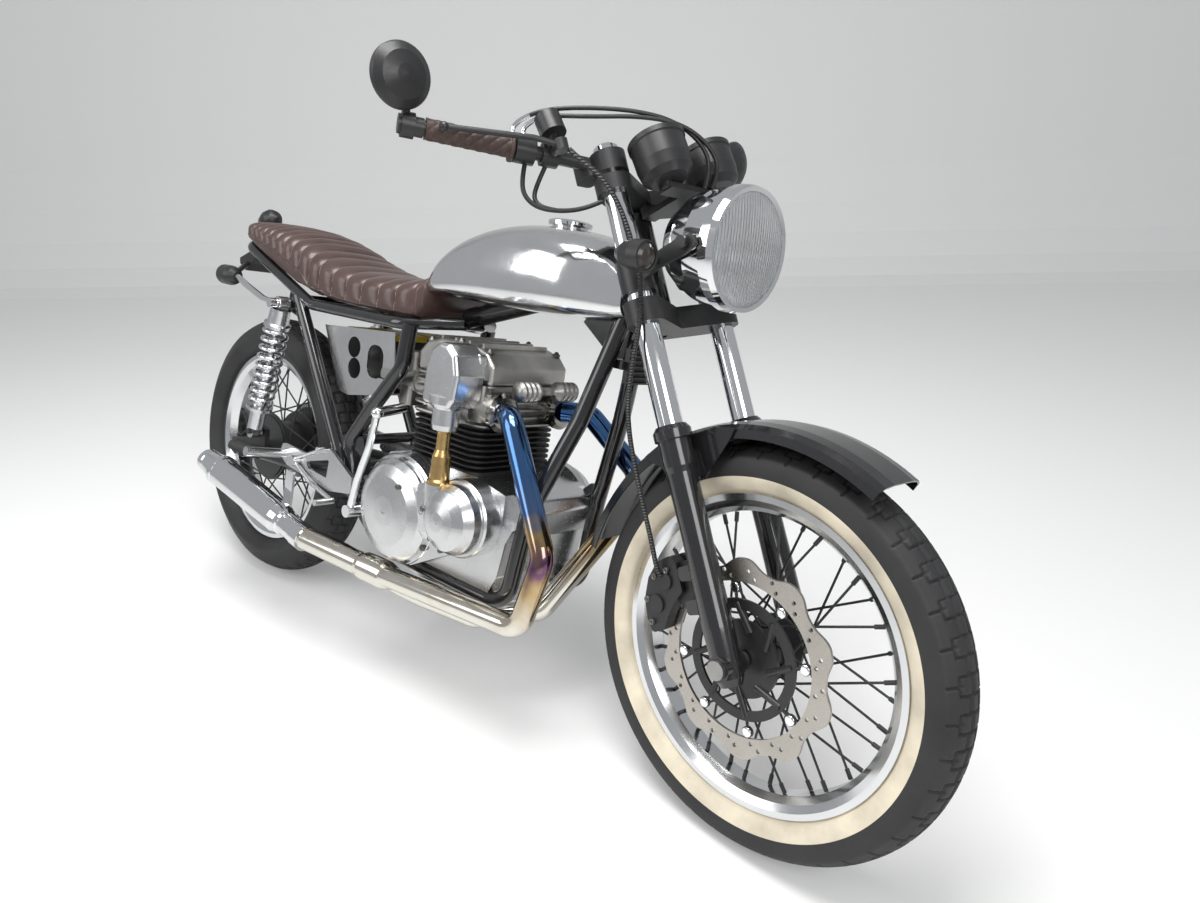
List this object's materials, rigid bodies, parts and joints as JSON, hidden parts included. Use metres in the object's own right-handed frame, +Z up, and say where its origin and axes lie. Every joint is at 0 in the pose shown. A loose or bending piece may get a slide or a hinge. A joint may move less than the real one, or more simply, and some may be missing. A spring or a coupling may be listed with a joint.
{
  "type": "cafe racer motorcycle",
  "caption": "Retro parallel-twin cafe racer motorcycle leaning on its side stand, with turning wheels, steering fork, open frame, bevel-drive engine, alloy tank and ribbed leather seat.",
  "frame": {"origin": "middle of the whole machine's footprint, on the floor that the tyres and the side stand rest on", "axes": "+X to the front of the machine, along its wheelbase; +Y to its left, the side that it leans to; +Z up"},
  "size_m": [2.1166, 0.8845, 1.2259],
  "materials": {
    "frame_black": "gloss",
    "arm_black": "semi-gloss",
    "chrome": "polished",
    "case_alloy": "satin",
    "barrel_black": "matte",
    "head_alloy": "weathered",
    "bronze": "satin",
    "carb_metal": "satin",
    "header_chrome": "heat tinted",
    "tank_alloy": "polished",
    "leather": "semi-gloss",
    "tray_alloy": "satin",
    "battery_plastic": "satin",
    "black_plastic": "matte",
    "steel": "brushed",
    "peg_rubber": "matte",
    "grip_rubber": "matte",
    "glass": "clear",
    "mirror": "polished",
    "tyre_rubber": "matte",
    "rim_alloy": "polished",
    "disc_steel": "brushed",
    "hose_rubber": "satin"
  },
  "bodies": {
    "chassis": {"main_frame": "frame_black", "cradle_right": "frame_black", "cradle_left": "frame_black", "seat_frame": "frame_black", "swingarm": "arm_black", "shock_dampers": "chrome", "shock_springs": "chrome", "crankcase": "case_alloy", "clutch_cover": "case_alloy", "kick_lever": "chrome", "alternator_cover": "case_alloy", "cylinder_block": "barrel_black", "cylinder_head": "head_alloy", "rocker_cover": "head_alloy", "bevel_housing": "case_alloy", "bevel_tower": "bronze", "carburettors": "carb_metal", "exhaust_headers": "header_chrome", "silencer": "chrome", "fuel_tank": "tank_alloy", "filler_cap": "chrome", "seat": "leather", "battery_tray": "tray_alloy", "battery": "battery_plastic", "regulator": "black_plastic", "drive_chain": "steel", "gearbox_sprocket": "steel", "rearsets": "case_alloy", "passenger_pegs": "peg_rubber", "tail_bracket": "black_plastic", "grab_rails": "chrome", "tail_lamp": "black_plastic"},
    "steering": {"yokes": "arm_black", "fork_tubes": "chrome", "fork_legs": "arm_black", "front_axle": "steel", "front_mudguard": "frame_black", "headlamp_shell": "chrome", "headlamp_lens": "glass", "lamp_brackets": "black_plastic", "indicator_lenses": "glass", "gauges": "black_plastic", "clip_ons": "arm_black", "grips": "grip_rubber", "hand_controls": "arm_black", "mirrors": "arm_black", "mirror_glasses": "mirror", "brake_caliper": "arm_black", "brake_hose": "hose_rubber"},
    "front_wheel": {"front_tyre": "tyre_rubber", "front_rim": "rim_alloy", "front_hub": "arm_black", "front_disc": "disc_steel"},
    "rear_wheel": {"rear_tyre": "tyre_rubber", "rear_rim": "rim_alloy", "rear_hub": "arm_black"},
    "side_stand": {"side_stand": "arm_black"}
  },
  "joints": [
    {"name": "steering_turn", "type": "hinge", "parent": "chassis", "child": "steering", "pos_m": [0.38025, -0.05947, 0.87059], "axis": [-0.454, 0.2127, 0.8652], "range_deg": [-33.2, 44.8]},
    {"name": "front_wheel_spin", "type": "hinge", "parent": "steering", "child": "front_wheel", "pos_m": [0.72775, -0.19932, 0.32451], "axis": [0.09, 0.9771, -0.1929], "continuous": true},
    {"name": "rear_wheel_spin", "type": "hinge", "parent": "chassis", "child": "rear_wheel", "pos_m": [-0.727, -0.19375, 0.3243], "axis": [0, 0.9711, -0.2387], "continuous": true},
    {"name": "side_stand_fold", "type": "hinge", "parent": "chassis", "child": "side_stand", "pos_m": [-0.072, -0.08467, 0.23146], "axis": [0, 0.922, 0.3871], "range_deg": [0, 95]}
  ]
}
